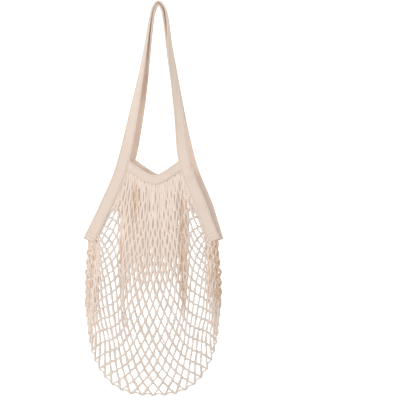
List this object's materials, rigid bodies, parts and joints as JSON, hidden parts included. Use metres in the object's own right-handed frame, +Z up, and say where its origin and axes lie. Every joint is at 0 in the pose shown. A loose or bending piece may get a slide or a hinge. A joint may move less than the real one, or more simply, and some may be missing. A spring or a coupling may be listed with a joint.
{
  "type": "string shopping bag",
  "caption": "Cotton string shopping bag lying flat: a knitted net body with a curved mouth band and long tape handles that also edge its sides.",
  "frame": {"origin": "middle of the lying bag's outline, on the surface it lies on", "axes": "+Y from the bottom of the bag to the handles, +X to the right as seen from above, +Z up, out of the bag's front"},
  "size_m": [0.2339, 0.6595, 0.0295],
  "materials": {
    "net_string": "matte undyed cotton string",
    "band_tape": "matte ribbed undyed cotton tape"
  },
  "bodies": {
    "root": {"net": "net_string", "front_handle": "band_tape", "front_mouth_band": "band_tape", "back_handle": "band_tape", "back_mouth_band": "band_tape"}
  },
  "joints": []
}
